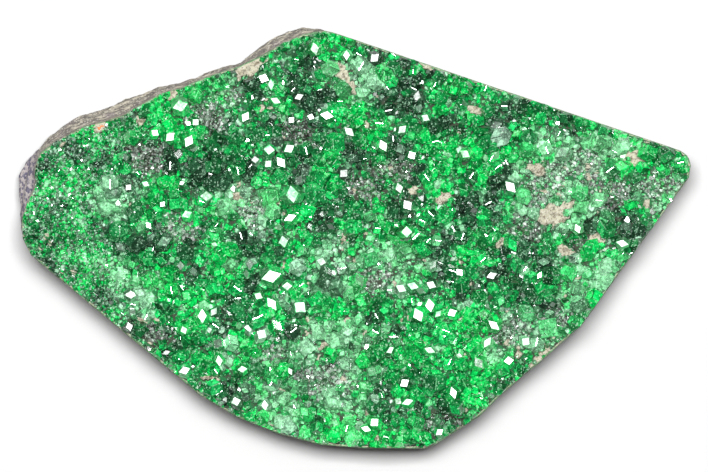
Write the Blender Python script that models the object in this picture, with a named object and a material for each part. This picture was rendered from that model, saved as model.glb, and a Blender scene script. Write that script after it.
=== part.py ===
"""Uvarovite garnet on chromite: a sawn and broken plate of dark rock under a crust of green crystals.

Frame: metres, +Z up out of the crystal face, +X along the plate's length. The origin is on the flat
underside, below the middle of the plate.
"""

import math
import random
from itertools import product

import bmesh
import bpy
from mathutils import Matrix, Quaternion, Vector

MM = 0.001

# Driving dimensions of the plate.
ROCK_THICKNESS = 5.4 * MM
CRUST_GAP = 0.3 * MM
CRUST_BED = 0.8 * MM
SAWN_RIM = 0.15 * MM
SAW_DRAFT = 0.25 * MM
CUTTER_HEIGHT = 10 * MM

# The outline as a collector would trace it from above, in millimetres: x, y.
# The sawn edges run from the left shoulder along the bottom, up the right side and back to the crest.
SAWN_EDGE = [
    (-30.4, -1.7),
    (-14.6, -14.8),
    (-10.9, -17.0),
    (-7.1, -18.5),
    (-3.3, -19.5),
    (0.5, -19.85),
    (6.6, -19.9),
    (7.7, -19.5),
    (11.8, -16.8),
    (13.7, -14.9),
    (17.5, -11.7),
    (19.4, -10.0),
    (21.3, -8.4),
    (31.5, 5.6),
    (31.7, 6.85),
    (31.4, 7.7),
    (30.7, 8.2),
    (-1.9, 19.3),
]

# The broken edge closes the outline from the crest back to the left shoulder: x, y and how far the
# bare rock shows outside the crust.
BROKEN_EDGE = [
    (-3.3, 19.8, 0.4),
    (-4.9, 19.9, 0.8),
    (-7.1, 19.2, 1.0),
    (-8.8, 18.1, 0.9),
    (-10.9, 16.6, 0.5),
    (-14.2, 15.4, 0.4),
    (-16.5, 14.6, 0.6),
    (-18.4, 14.2, 0.7),
    (-20.3, 13.5, 1.0),
    (-22.4, 12.7, 1.4),
    (-24.1, 12.0, 1.2),
    (-26.0, 11.5, 1.2),
    (-27.4, 10.6, 1.1),
    (-28.8, 9.5, 0.8),
    (-30.0, 8.3, 0.6),
    (-31.0, 7.1, 1.2),
    (-31.7, 5.9, 1.9),
    (-31.7, 4.5, 1.6),
    (-31.6, 3.1, 0.8),
    (-31.6, 1.65, 0.3),
    (-31.3, -0.2, 0.15),
]

# The rock's side, from the underside up: height as a share of the thickness, how far the broken face
# stands in from the outline at its foot, and how much of the bare rim has been used up there. Two
# levels close together make a ledge.
BROKEN_LEVELS = [
    (0.0, 0.9, 0.0),
    (0.16, 0.4, 0.0),
    (0.3, 0.3, 0.0),
    (0.36, 0.0, 0.0),
    (0.56, 0.0, 0.0),
    (0.63, 0.0, 0.32),
    (0.79, 0.0, 0.42),
    (0.86, 0.0, 0.78),
    (1.0, 0.0, 1.0),
]
BROKEN_FOOT = 1.0 * MM
BROKEN_ROUGHNESS = 0.22 * MM
EDGE_STEP = 1.0 * MM

# Crystals of the crust: the distance between neighbours, and how much sizes, places and heights vary.
# A crystal's width from tip to tip is four times its half cube, and the crust is finer at the left.
CRYSTAL_SPACING = 2.6 * MM
SPACING_JITTER = 0.28
HALF_CUBE_SHARE = 0.48
SIZE_SPREAD = 0.25
HEIGHT_SPREAD = 0.4
FINE_ZONE_X = -19.0 * MM
FINE_SHARE = 0.85
SWELL = 0.45 * MM

# Places where the crust is missing and the rock shows: x, y, half length and half width of the hole in
# the crust in millimetres, its turn in degrees, and the height of the rock knob that stands in it.
BARE_PATCHES = [
    (18.9, 2.2, 1.8, 1.3, 10.0, 1.1),
    (17.9, -11.2, 1.8, 1.0, 42.0, 0.0),
    (-10.2, 15.9, 1.7, 1.0, 28.0, 0.0),
]
PATCH_POINTS = 11
PATCH_ROUGHNESS = 0.12
PATCH_FLARE = 0.35

# The knob's levels from its root in the rock: its width as a share of the hole's, and the share of its
# height.
KNOB_LEVELS = [(0.66, -0.5), (0.66, 0.45), (0.5, 0.85), (0.2, 1.0)]

ROCK_SEED = 11
PATCH_SEED = 5
CRUST_SEED = 23

ROCK_COLOUR = (0.27, 0.25, 0.22, 1.0)
ROCK_ROUGHNESS = 0.85
GARNET_COLOUR = (0.02, 0.36, 0.10, 1.0)
GARNET_ROUGHNESS = 0.12


def clear_scene():
    """Remove every object that the file opened with."""
    for obj in list(bpy.data.objects):
        bpy.data.objects.remove(obj)


def make_collection(name, hidden=False):
    """Make a collection in the scene; a hidden one holds cutters."""
    collection = bpy.data.collections.new(name)
    bpy.context.scene.collection.children.link(collection)
    collection.hide_render = hidden
    return collection


def make_material(name, colour, roughness):
    """Make a plain stone material."""
    material = bpy.data.materials.new(name)
    material.use_nodes = True
    shader = material.node_tree.nodes["Principled BSDF"]
    shader.inputs["Base Color"].default_value = colour
    shader.inputs["Roughness"].default_value = roughness
    shader.inputs["Metallic"].default_value = 0.0
    return material


def mesh_object(name, bm, collection, material=None):
    """Turn a bmesh into an object of the collection."""
    mesh = bpy.data.meshes.new(name)
    bm.to_mesh(mesh)
    bm.free()
    obj = bpy.data.objects.new(name, mesh)
    if material:
        mesh.materials.append(material)
    collection.objects.link(obj)
    return obj


def outline_points():
    """The outline as (point, rim, broken) in metres, counterclockwise, with the broken edge cut finely."""
    points = [(Vector((x, y)) * MM, SAWN_RIM, 0.0) for x, y in SAWN_EDGE]
    stops = [(*SAWN_EDGE[-1], SAWN_RIM / MM)] + BROKEN_EDGE + [(*SAWN_EDGE[0], SAWN_RIM / MM)]
    for (x0, y0, rim0), (x1, y1, rim1) in zip(stops, stops[1:]):
        start = Vector((x0, y0)) * MM
        end = Vector((x1, y1)) * MM
        pieces = max(1, round((end - start).length / EDGE_STEP))
        for i in range(1, pieces + 1):
            share = i / pieces
            rim = (rim0 + (rim1 - rim0) * share) * MM
            points.append((start.lerp(end, share), rim, 1.0))
    return points[:-1]


def outward_normals(points):
    """The unit normal at each outline point, away from the plate."""
    normals = []
    for i in range(len(points)):
        before = points[i - 1]
        after = points[(i + 1) % len(points)]
        along = (after - before).normalized()
        normals.append(Vector((along.y, -along.x)))
    return normals


def crust_outline():
    """The line on the rock's top face where the crust ends."""
    outline = outline_points()
    points = [p for p, _, _ in outline]
    normals = outward_normals(points)
    return [p - n * rim for (p, rim, _), n in zip(outline, normals)]


def loft(rings, name, collection, material):
    """Close a stack of equal rings, lowest first, into one solid with flat ends."""
    bm = bmesh.new()
    loops = [[bm.verts.new(p) for p in ring] for ring in rings]
    for low, high in zip(loops, loops[1:]):
        for i in range(len(low)):
            j = (i + 1) % len(low)
            bm.faces.new((low[i], low[j], high[j], high[i]))
    bm.faces.new(list(reversed(loops[0])))
    bm.faces.new(loops[-1])
    bmesh.ops.recalc_face_normals(bm, faces=bm.faces)
    return mesh_object(name, bm, collection, material)


def make_rock(collection, cutters, material):
    """The chromite plate: flat underside and top, straight sawn sides and one broken, ledged side."""
    rng = random.Random(ROCK_SEED)
    outline = outline_points()
    points = [p for p, _, _ in outline]
    normals = outward_normals(points)
    rings = []
    for share, foot, used in BROKEN_LEVELS:
        ring = []
        for (point, rim, broken), normal in zip(outline, normals):
            inset = broken * (foot * BROKEN_FOOT + used * rim) + (1 - broken) * SAW_DRAFT * (1 - share)
            if broken and 0.0 < share < 1.0:
                inset += rng.uniform(-0.5, 1.0) * BROKEN_ROUGHNESS
            place = point - normal * inset
            ring.append((place.x, place.y, share * ROCK_THICKNESS))
        rings.append(ring)
    rock = loft(rings, "chromite_matrix", collection, material)
    for patch in BARE_PATCHES:
        if patch[-1] > 0.0:
            add_boolean(rock, "UNION", make_knob(patch, cutters))
    return rock


def inside(outline, point):
    """Whether a point lies inside the outline, by counting the edges that a line to the right crosses."""
    crossings = 0
    for a, b in zip(outline, outline[1:] + outline[:1]):
        if (a.y > point.y) != (b.y > point.y):
            x = a.x + (b.x - a.x) * (point.y - a.y) / (b.y - a.y)
            crossings += x > point.x
    return crossings % 2 == 1


def in_bare_patch(point):
    """Whether a point lies where the rock is bare."""
    for x, y, half_length, half_width, turn, _ in BARE_PATCHES:
        offset = point - Vector((x, y)) * MM
        offset.rotate(Matrix.Rotation(-math.radians(turn), 2))
        if math.hypot(offset.x / (half_length * MM), offset.y / (half_width * MM)) < 1.0:
            return True
    return False


def patch_ring(patch, scale, height, rng):
    """A rough ellipse around a bare patch, at a height; the same draws give the same roughness."""
    x, y, half_length, half_width, turn, _ = patch
    ring = []
    for i in range(PATCH_POINTS):
        angle = 2 * math.pi * i / PATCH_POINTS
        reach = scale * (1.0 + PATCH_ROUGHNESS * rng.uniform(-1, 1))
        offset = Vector((half_length * math.cos(angle), half_width * math.sin(angle))) * reach * MM
        offset.rotate(Matrix.Rotation(math.radians(turn), 2))
        ring.append((x * MM + offset.x, y * MM + offset.y, height))
    return ring


def make_knob(patch, cutters):
    """The low knob of bare rock that stands in a patch, as a helper to join to the plate."""
    rings = []
    for share, rise in KNOB_LEVELS:
        height = ROCK_THICKNESS + rise * patch[-1] * MM
        rings.append(patch_ring(patch, share, height, random.Random(PATCH_SEED)))
    return loft(rings, "knob", cutters, None)


def make_patch_cutter(patch, cutters):
    """The flared cutter that takes the crust away over a bare patch."""
    low = ROCK_THICKNESS
    rings = []
    for share, height in ((1.0, low), (1.0 + PATCH_FLARE, low + CUTTER_HEIGHT / 2)):
        rings.append(patch_ring(patch, share, height, random.Random(PATCH_SEED)))
    return loft(rings, "patch", cutters, None)


def swell(x, y):
    """The slow rise and fall of the crust's surface, in metres."""
    wave = math.sin(x / (5.1 * MM) + 0.7) * math.cos(y / (4.3 * MM) - 0.4)
    return SWELL * (0.6 * wave + 0.4 * math.sin((x + 1.7 * y) / (3.7 * MM)))


def scatter(outline, rng):
    """Crystal places as (point, spacing): rows of a triangular net, each place shaken, finer at the left."""
    low = Vector((min(p.x for p in outline), min(p.y for p in outline)))
    high = Vector((max(p.x for p in outline), max(p.y for p in outline)))
    places = []
    for left, right, spacing in (
        (low.x, FINE_ZONE_X, CRYSTAL_SPACING * FINE_SHARE),
        (FINE_ZONE_X, high.x, CRYSTAL_SPACING),
    ):
        row_step = spacing * math.sqrt(3) / 2
        for row in range(math.ceil((high.y - low.y) / row_step)):
            shift = spacing / 2 * (row % 2)
            for column in range(math.ceil((right - left) / spacing)):
                shake = Vector((rng.uniform(-1, 1), rng.uniform(-1, 1))) * SPACING_JITTER * spacing
                point = Vector((left + column * spacing + shift, low.y + row * row_step)) + shake
                if inside(outline, point) and not in_bare_patch(point):
                    places.append((point, spacing))
    return places


def random_turn(rng):
    """An evenly spread random rotation."""
    return Quaternion([rng.gauss(0.0, 1.0) for _ in range(4)]).normalized()


def add_crystal(bm, place, half, turn, foot):
    """One garnet rooted in the bed: the hull of a turned rhombic dodecahedron and its shadow at the foot.

    The dodecahedron's corners are those of a cube and six tips, each a half cube above a face.
    """
    cube = [Vector(signs) * half for signs in product((-1, 1), repeat=3)]
    tips = [Vector((0, 0, 2 * half * side)) for side in (-1, 1)]
    tips += [Vector((0, 2 * half * side, 0)) for side in (-1, 1)]
    tips += [Vector((2 * half * side, 0, 0)) for side in (-1, 1)]
    corners = [place + turn @ corner for corner in cube + tips]
    shadow = [Vector((c.x, c.y, foot)) for c in corners]
    verts = [bm.verts.new(c) for c in corners + shadow]
    made = bmesh.ops.convex_hull(bm, input=verts)
    unused = [item for item in made["geom_interior"] if isinstance(item, bmesh.types.BMVert)]
    bmesh.ops.delete(bm, geom=unused, context="VERTS")


def make_crystals(outline, cutters):
    """All crystals of the crust as one helper mesh, each half sunk in the bed."""
    rng = random.Random(CRUST_SEED)
    bm = bmesh.new()
    bed_top = ROCK_THICKNESS + CRUST_GAP + CRUST_BED
    for place, spacing in scatter(outline, rng):
        half = spacing * HALF_CUBE_SHARE * (1.0 + rng.uniform(-SIZE_SPREAD, SIZE_SPREAD))
        rise = half * rng.uniform(-1, 1) * HEIGHT_SPREAD + swell(place.x, place.y)
        centre = Vector((place.x, place.y, bed_top + rise))
        add_crystal(bm, centre, half, random_turn(rng), bed_top - CRUST_BED / 2)
    return mesh_object("crystals", bm, cutters)


def prism(name, outline, low, high, collection, material=None):
    """A straight-sided solid over an outline, between two heights."""
    rings = [[(p.x, p.y, z) for p in outline] for z in (low, high)]
    return loft(rings, name, collection, material)


def add_boolean(obj, operation, other, self_joined=False):
    """Join, cut or keep the common part of another mesh."""
    modifier = obj.modifiers.new(operation.lower(), "BOOLEAN")
    modifier.operation = operation
    modifier.object = other
    modifier.use_self = self_joined


def make_crust(collection, cutters, material):
    """The garnet crust: a thin bed with the crystals grown out of it, cut flush at the sawn edges.

    The saw keeps what lies over the plate and outside the bare patches.
    """
    outline = crust_outline()
    low = ROCK_THICKNESS + CRUST_GAP
    crust = prism("garnet_crust", outline, low, low + CRUST_BED, collection, material)
    add_boolean(crust, "UNION", make_crystals(outline, cutters), self_joined=True)
    saw = prism("saw", outline, low, low + CUTTER_HEIGHT, cutters)
    for patch in BARE_PATCHES:
        add_boolean(saw, "DIFFERENCE", make_patch_cutter(patch, cutters))
    add_boolean(crust, "INTERSECT", saw)
    return crust


def main():
    """Build the specimen."""
    clear_scene()
    parts = make_collection("uvarovite_garnet")
    cutters = make_collection("cutters", hidden=True)
    make_rock(parts, cutters, make_material("chromite", ROCK_COLOUR, ROCK_ROUGHNESS))
    make_crust(parts, cutters, make_material("uvarovite", GARNET_COLOUR, GARNET_ROUGHNESS))


main()
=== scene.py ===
"""Uvarovite garnet on chromite: the looks of a sawn and broken plate under a crust of green crystals.

Everything is in metres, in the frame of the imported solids: +Z up out of the crystal face, +X along the
plate, the origin on the flat underside. Lengths below are written in millimetres and multiplied by MM.
"""

import logging
import math
from dataclasses import dataclass
from enum import Enum
from itertools import product

import bpy
import numpy as np
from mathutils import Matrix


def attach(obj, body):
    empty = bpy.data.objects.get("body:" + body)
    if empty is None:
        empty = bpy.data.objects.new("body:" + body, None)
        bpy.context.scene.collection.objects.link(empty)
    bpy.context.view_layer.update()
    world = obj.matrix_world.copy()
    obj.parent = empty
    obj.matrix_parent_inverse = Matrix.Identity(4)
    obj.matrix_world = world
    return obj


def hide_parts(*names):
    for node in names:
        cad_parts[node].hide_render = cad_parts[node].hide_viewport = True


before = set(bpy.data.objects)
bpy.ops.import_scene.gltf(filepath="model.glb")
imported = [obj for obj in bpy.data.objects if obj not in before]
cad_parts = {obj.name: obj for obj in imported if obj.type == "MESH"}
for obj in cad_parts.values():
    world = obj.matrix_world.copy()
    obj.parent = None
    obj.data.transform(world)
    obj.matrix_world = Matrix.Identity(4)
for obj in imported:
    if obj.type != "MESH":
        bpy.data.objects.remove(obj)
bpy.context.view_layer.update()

MM = 0.001
ROCK_NODE = "chromite_matrix"
CRUST_NODE = "garnet_crust"

LOG = logging.getLogger("garnet")


class Shape(Enum):
    """How a piece's faces meet the light."""

    FLAT = "flat"
    SMOOTH = "smooth"


class Zone(Enum):
    """What a stretch of the crust looks like from a step away."""

    DARK = "dark"
    VIVID = "vivid"
    PALE = "pale"
    SUGAR = "sugar"


def put_mesh(name: str, corners: np.ndarray, faces: np.ndarray, shape: Shape) -> bpy.types.Object:
    """Make a mesh piece from whole arrays and link it to the scene.

    Args:
        name: the piece's name.
        corners: one row of x, y, z per corner, in metres.
        faces: one row of corner numbers per face, all of one length, counterclockwise from outside.
        shape: whether the faces are shaded flat or smooth.

    Returns:
        The new object, at the origin.
    """
    mesh = bpy.data.meshes.new(name)
    mesh.vertices.add(len(corners))
    mesh.vertices.foreach_set("co", np.ascontiguousarray(corners, dtype=np.float32).ravel())
    mesh.loops.add(faces.size)
    mesh.loops.foreach_set("vertex_index", faces.astype(np.int32).ravel())
    mesh.polygons.add(len(faces))
    starts = np.arange(len(faces), dtype=np.int32) * faces.shape[1]
    mesh.polygons.foreach_set("loop_start", starts)
    mesh.polygons.foreach_set("use_smooth", np.full(len(faces), shape is Shape.SMOOTH))
    mesh.update(calc_edges=True)
    mesh.validate()
    piece = bpy.data.objects.new(name, mesh)
    bpy.context.scene.collection.objects.link(piece)
    return piece


def stack_rings(rings: np.ndarray) -> tuple[np.ndarray, np.ndarray]:
    """Close a stack of rings into one skin, with a triangle fan at each end.

    The quad between ring i and i + 1 and points j and j + 1 is cut into two triangles; the ends are fans of
    triangles to the middle of the first and of the last ring.

    Args:
        rings: levels x points x 3, lowest ring first, each counterclockwise seen from above.

    Returns:
        The corners, and the triangles that join them.
    """
    levels, count, _ = rings.shape
    low = np.arange(levels - 1)[:, None] * count + np.arange(count)[None, :]
    after = np.arange(levels - 1)[:, None] * count + (np.arange(count)[None, :] + 1) % count
    sides = np.concatenate(
        [
            np.stack([low, after, after + count], -1).reshape(-1, 3),
            np.stack([low, after + count, low + count], -1).reshape(-1, 3),
        ]
    )
    corners = np.concatenate([rings.reshape(-1, 3), rings[:1].mean(1), rings[-1:].mean(1)])
    foot = np.arange(count)
    foot_after = (foot + 1) % count
    under, over = levels * count, levels * count + 1
    last = (levels - 1) * count
    ends = np.concatenate(
        [
            np.stack([foot_after, foot, np.full(count, under)], -1),
            np.stack([last + foot, last + foot_after, np.full(count, over)], -1),
        ]
    )
    return corners, np.concatenate([sides, ends])


def lattice_noise(x: np.ndarray, y: np.ndarray, cell: float, seed: int) -> np.ndarray:
    """A smooth random field between -1 and 1.

    Random values stand on a square lattice of the given cell, and a place takes the values of its four
    neighbours, weighted by the smoothstep 3 t^2 - 2 t^3 of its share of the cell along each side.
    """
    side = 256
    table = np.random.default_rng(seed).uniform(-1.0, 1.0, (side, side))
    u, v = x / cell, y / cell
    column, row = np.floor(u).astype(int), np.floor(v).astype(int)
    s, t = u - column, v - row
    s, t = s * s * (3 - 2 * s), t * t * (3 - 2 * t)

    def at(i: int, j: int) -> np.ndarray:
        """The lattice values i columns and j rows on."""
        return table[(row + j) % side, (column + i) % side]

    low = at(0, 0) * (1 - s) + at(1, 0) * s
    high = at(0, 1) * (1 - s) + at(1, 1) * s
    return low * (1 - t) + high * t


def layered_noise(x: np.ndarray, y: np.ndarray, cell: float, layers: int, seed: int) -> np.ndarray:
    """Lattice noise summed over layers, each with half the cell and about half the height of the last."""
    total = np.zeros(np.broadcast(x, y).shape)
    for layer in range(layers):
        total += lattice_noise(x, y, cell / 2**layer, seed + layer) * 0.55**layer
    return total


def smooth_step(value: np.ndarray, low: float, high: float) -> np.ndarray:
    """0 below low, 1 above high, and 3 t^2 - 2 t^3 between; low may be above high."""
    share = np.clip((value - low) / (high - low), 0.0, 1.0)
    return share * share * (3 - 2 * share)


@dataclass(frozen=True)
class Outline:
    """The plate's outline from above, in millimetres, as in the solids."""

    sawn: tuple[tuple[float, float], ...] = (
        (-30.4, -1.7), (-14.6, -14.8), (-10.9, -17.0), (-7.1, -18.5), (-3.3, -19.5), (0.5, -19.85),
        (6.6, -19.9), (7.7, -19.5), (11.8, -16.8), (13.7, -14.9), (17.5, -11.7), (19.4, -10.0),
        (21.3, -8.4), (31.5, 5.6), (31.7, 6.85), (31.4, 7.7), (30.7, 8.2), (-1.9, 19.3),
    )
    broken: tuple[tuple[float, float, float], ...] = (
        (-3.3, 19.8, 0.4), (-4.9, 19.9, 0.8), (-7.1, 19.2, 1.0), (-8.8, 18.1, 0.9), (-10.9, 16.6, 0.5),
        (-14.2, 15.4, 0.4), (-16.5, 14.6, 0.6), (-18.4, 14.2, 0.7), (-20.3, 13.5, 1.0),
        (-22.4, 12.7, 1.4), (-24.1, 12.0, 1.2), (-26.0, 11.5, 1.2), (-27.4, 10.6, 1.1),
        (-28.8, 9.5, 0.8), (-30.0, 8.3, 0.6), (-31.0, 7.1, 1.2), (-31.7, 5.9, 1.9), (-31.7, 4.5, 1.6),
        (-31.6, 3.1, 0.8), (-31.6, 1.65, 0.3), (-31.3, -0.2, 0.15),
    )
    sawn_rim: float = 0.04
    sawn_lip: float = 0.08
    lip_cell: float = 1.4
    step: float = 0.2

    def trace(self) -> tuple[np.ndarray, np.ndarray, np.ndarray]:
        """The outline cut into short steps.

        Returns:
            The points in metres, counterclockwise; how far the rock shows outside the crust there; and
            how much the edge is broken there, from 0 where it is sawn to 1.
        """
        sawn = [(x, y, self.sawn_rim, 0.0) for x, y in self.sawn]
        broken = [(x, y, rim, 1.0) for x, y, rim in self.broken]
        stops = np.array(sawn + broken + sawn[:1])
        lengths = np.hypot(*np.diff(stops[:, :2], axis=0).T)
        along = np.concatenate([[0.0], np.cumsum(lengths)])
        places = np.linspace(0.0, along[-1], round(along[-1] / self.step), endpoint=False)
        x, y, rim, rough = (np.interp(places, along, stops[:, i]) for i in range(4))
        return np.stack([x, y], -1) * MM, rim * MM, rough

    def outward(self, points: np.ndarray) -> np.ndarray:
        """Unit normals away from the plate: the way along the line, turned a quarter to the right."""
        along = np.roll(points, -3, 0) - np.roll(points, 3, 0)
        along /= np.linalg.norm(along, axis=1, keepdims=True)
        return np.stack([along[:, 1], -along[:, 0]], -1)

    def crust_line(self, inset: np.ndarray | float = 0.0) -> np.ndarray:
        """The line where the crust ends: the outline moved in by the rim, and by an inset in metres."""
        points, rim, _ = self.trace()
        return points - self.outward(points) * (rim + inset)[:, None]

    def crystal_line(self) -> np.ndarray:
        """The line where the crystals end: a lip of bare rock, now wide now narrow, is left outside it."""
        points, _, _ = self.trace()
        wobble = layered_noise(points[:, 0], points[:, 1], self.lip_cell * MM, 2, 15)
        least = 1.2 * smooth_step(points[:, 1] / MM, 1.0, -3.0)
        return self.crust_line(self.sawn_lip * MM * np.clip(1.0 + 1.3 * wobble, least, 2.4))


def holds(line: np.ndarray, places: np.ndarray) -> np.ndarray:
    """Whether each place lies inside the closed line: a ray to its right crosses it an odd number of times."""
    a, b = line, np.roll(line, -1, 0)
    inside = np.zeros(len(places), dtype=bool)
    for (ax, ay), (bx, by) in zip(a, b):
        spans = (ay > places[:, 1]) != (by > places[:, 1])
        rise = by - ay if by != ay else 1.0
        crossing = ax + (bx - ax) * (places[:, 1] - ay) / rise
        inside ^= spans & (crossing > places[:, 0])
    return inside


@dataclass(frozen=True)
class Ellipse:
    """A patch of the crust in millimetres: its middle, half sides and turn in degrees."""

    x: float
    y: float
    half_length: float
    half_width: float
    turn: float = 0.0

    def reach(self, x: np.ndarray, y: np.ndarray) -> np.ndarray:
        """How far each place is from the middle, as a share of the ellipse's own edge distance."""
        turn = math.radians(self.turn)
        dx, dy = x / MM - self.x, y / MM - self.y
        along = dx * math.cos(turn) + dy * math.sin(turn)
        across = dy * math.cos(turn) - dx * math.sin(turn)
        return np.hypot(along / self.half_length, across / self.half_width)


@dataclass(frozen=True)
class CrustMap:
    """What lies where on the crust: dark and pale stretches and bare spots."""

    dark: tuple[Ellipse, ...] = (
        Ellipse(-12.3, 6.9, 8.0, 2.8, -5.0),
        Ellipse(-5.2, 14.7, 3.3, 2.8, 0.0),
        Ellipse(-3.3, 8.3, 3.2, 2.8, 0.0),
        Ellipse(5.4, 12.3, 3.6, 2.8, -20.0),
        Ellipse(5.1, 8.8, 2.2, 1.8, 0.0),
        Ellipse(14.8, 10.6, 2.2, 1.2, -20.0),
        Ellipse(14.1, 4.6, 1.8, 1.5, 0.0),
        Ellipse(7.3, -0.2, 3.2, 1.5, 0.0),
        Ellipse(14.2, 0.4, 3.8, 2.7, -30.0),
        Ellipse(12.8, -3.4, 3.4, 1.2, 0.0),
        Ellipse(4.6, 4.8, 2.2, 2.2, 0.0),
        Ellipse(-18.4, 0.2, 1.7, 1.7, 0.0),
        Ellipse(7.3, -16.8, 3.4, 1.6, 10.0),
        Ellipse(-12.3, -14.9, 2.6, 1.6, -40.0),
        Ellipse(26.0, 1.6, 1.6, 1.2, 0.0),
    )
    vivid: tuple[Ellipse, ...] = (
        Ellipse(-24.4, 8.0, 2.4, 2.6, 0.0),
        Ellipse(-18.0, 12.0, 2.4, 2.0, 20.0),
        Ellipse(10.9, 6.9, 4.4, 2.8, -10.0),
        Ellipse(-13.7, -8.7, 4.2, 3.2, -30.0),
        Ellipse(-5.2, -5.9, 5.5, 2.4, 0.0),
        Ellipse(-9.9, -6.2, 2.4, 2.2, 0.0),
        Ellipse(-17.4, -9.6, 2.4, 1.7, -40.0),
        Ellipse(9.6, 13.3, 2.0, 1.3, -20.0),
        Ellipse(-22.5, -2.5, 2.0, 2.6, 0.0),
        Ellipse(7.1, -8.7, 5.6, 3.8, 0.0),
        Ellipse(13.7, -13.3, 2.6, 1.8, 40.0),
        Ellipse(23.2, -4.0, 2.6, 2.6, 0.0),
        Ellipse(26.0, 7.3, 3.0, 1.6, -15.0),
        Ellipse(0.0, -17.7, 5.5, 1.4, 0.0),
        Ellipse(0.5, 11.0, 2.4, 2.0, 0.0),
    )
    pale: tuple[Ellipse, ...] = (
        Ellipse(-3.3, -13.0, 5.8, 4.6, 0.0),
        Ellipse(0.9, -2.6, 4.0, 3.0, 0.0),
        Ellipse(19.6, 4.6, 3.8, 3.6, 0.0),
        Ellipse(21.2, -3.6, 4.0, 2.6, -10.0),
        Ellipse(18.7, 8.9, 2.2, 1.3, -20.0),
        Ellipse(27.9, 4.4, 1.8, 2.2, -30.0),
        Ellipse(-1.8, -9.3, 4.4, 2.2, 0.0),
        Ellipse(0.0, 15.2, 2.2, 1.5, -20.0),
        Ellipse(-10.6, 2.7, 2.6, 1.8, 0.0),
        Ellipse(-22.7, 3.4, 1.8, 1.4, 35.0),
        Ellipse(-20.4, -5.0, 2.8, 1.6, -30.0),
        Ellipse(15.5, -9.0, 3.2, 1.8, 20.0),
        Ellipse(-12.0, 13.9, 1.6, 1.2, 20.0),
        Ellipse(25.0, 8.4, 2.6, 1.0, -15.0),
    )
    druse: tuple[Ellipse, ...] = (
        Ellipse(18.0, 5.2, 2.4, 2.0, 0.0),
        Ellipse(21.7, 6.9, 2.2, 1.4, 0.0),
        Ellipse(16.3, 0.7, 1.4, 1.2, 0.0),
        Ellipse(1.4, -3.7, 2.0, 1.5, 0.0),
        Ellipse(-13.7, 11.6, 1.5, 1.2, 0.0),
        Ellipse(-19.2, 7.3, 2.4, 1.3, -15.0),
        Ellipse(-5.2, 9.5, 2.0, 1.3, 0.0),
        Ellipse(-12.0, 13.7, 1.2, 0.9, 0.0),
        Ellipse(-10.3, 2.3, 2.0, 1.2, -10.0),
        Ellipse(-16.2, 1.1, 1.6, 1.3, 0.0),
        Ellipse(-6.8, -10.6, 1.7, 1.3, 0.0),
        Ellipse(-2.9, -13.7, 2.3, 1.7, 0.0),
        Ellipse(-18.9, -9.2, 1.4, 1.0, 0.0),
        Ellipse(8.2, -16.8, 2.2, 1.2, 0.0),
        Ellipse(18.9, -7.5, 1.4, 1.0, 0.0),
        Ellipse(14.8, -8.9, 1.6, 1.2, 0.0),
        Ellipse(24.1, 4.0, 1.6, 1.3, 0.0),
        Ellipse(28.2, 4.2, 1.3, 1.8, -30.0),
        Ellipse(21.7, -0.9, 1.4, 1.0, 0.0),
        Ellipse(0.9, 4.5, 1.5, 1.2, 0.0),
        Ellipse(4.0, 6.2, 1.6, 1.2, 0.0),
    )
    bare: tuple[Ellipse, ...] = (
        Ellipse(18.9, 2.2, 1.5, 1.0, 10.0),
        Ellipse(17.9, -11.2, 1.4, 0.6, 42.0),
        Ellipse(-10.0, 15.9, 1.3, 0.6, 28.0),
        Ellipse(10.9, 12.0, 0.9, 0.5, -20.0),
        Ellipse(-0.7, 14.9, 1.9, 0.4, -56.0),
        Ellipse(17.0, 6.4, 0.9, 0.5, -30.0),
        Ellipse(19.9, -1.2, 1.0, 0.5, -30.0),
        Ellipse(23.0, -0.1, 0.8, 0.5, 20.0),
        Ellipse(26.2, 7.3, 1.1, 0.7, 10.0),
        Ellipse(8.3, 3.8, 0.8, 0.5, 30.0),
        Ellipse(13.7, -0.3, 0.6, 0.4, 10.0),
        Ellipse(-17.2, 13.4, 0.6, 0.5, 60.0),
        Ellipse(-20.1, 11.0, 0.5, 0.35, -50.0),
        Ellipse(-23.9, 10.4, 0.7, 0.6, 20.0),
        Ellipse(6.8, 16.2, 0.8, 0.5, -19.0),
    )
    rust: Ellipse = Ellipse(-24.0, 10.3, 0.55, 0.5, 0.0)

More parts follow.
